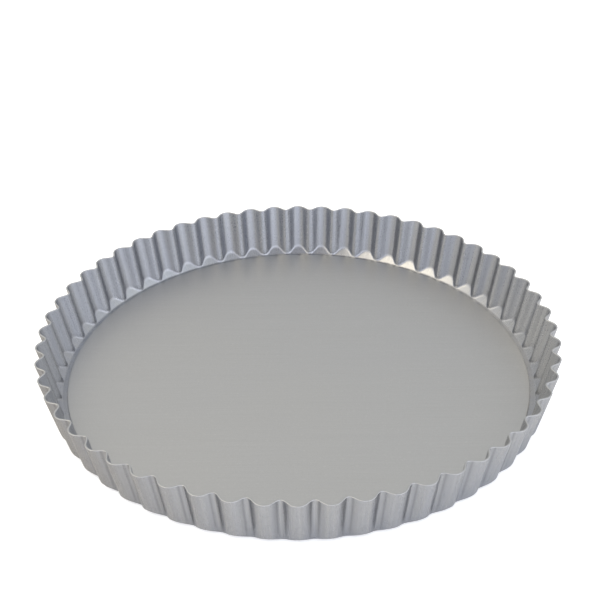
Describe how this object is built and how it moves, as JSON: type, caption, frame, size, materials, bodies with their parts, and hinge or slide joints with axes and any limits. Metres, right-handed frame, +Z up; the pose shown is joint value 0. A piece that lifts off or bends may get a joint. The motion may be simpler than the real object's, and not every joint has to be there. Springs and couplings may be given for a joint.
{
  "type": "tart pan",
  "caption": "Round fluted tart pan: a flared fluted ring with a flat in-turned ledge, and a loose flat base that rests on the ledge and lifts out.",
  "frame": {"origin": "centre of the ring, on the plane that the pan stands on", "axes": "+Z up through the middle of the hole, out of the pan's open top; +X and +Y each pass through the middle of a flute"},
  "size_m": [0.25, 0.25, 0.0267],
  "materials": {
    "ring_sheet": "satin anodised, pale silver grey",
    "base_sheet": "fine matt anodised, pale silver grey"
  },
  "bodies": {
    "ring": {"fluted_ring": "ring_sheet"},
    "base": {"loose_base": "base_sheet"}
  },
  "joints": [
    {"name": "base_lift", "type": "slide", "parent": "ring", "child": "base", "axis": [0, 0, 1], "range_m": [0, 0.12]}
  ]
}
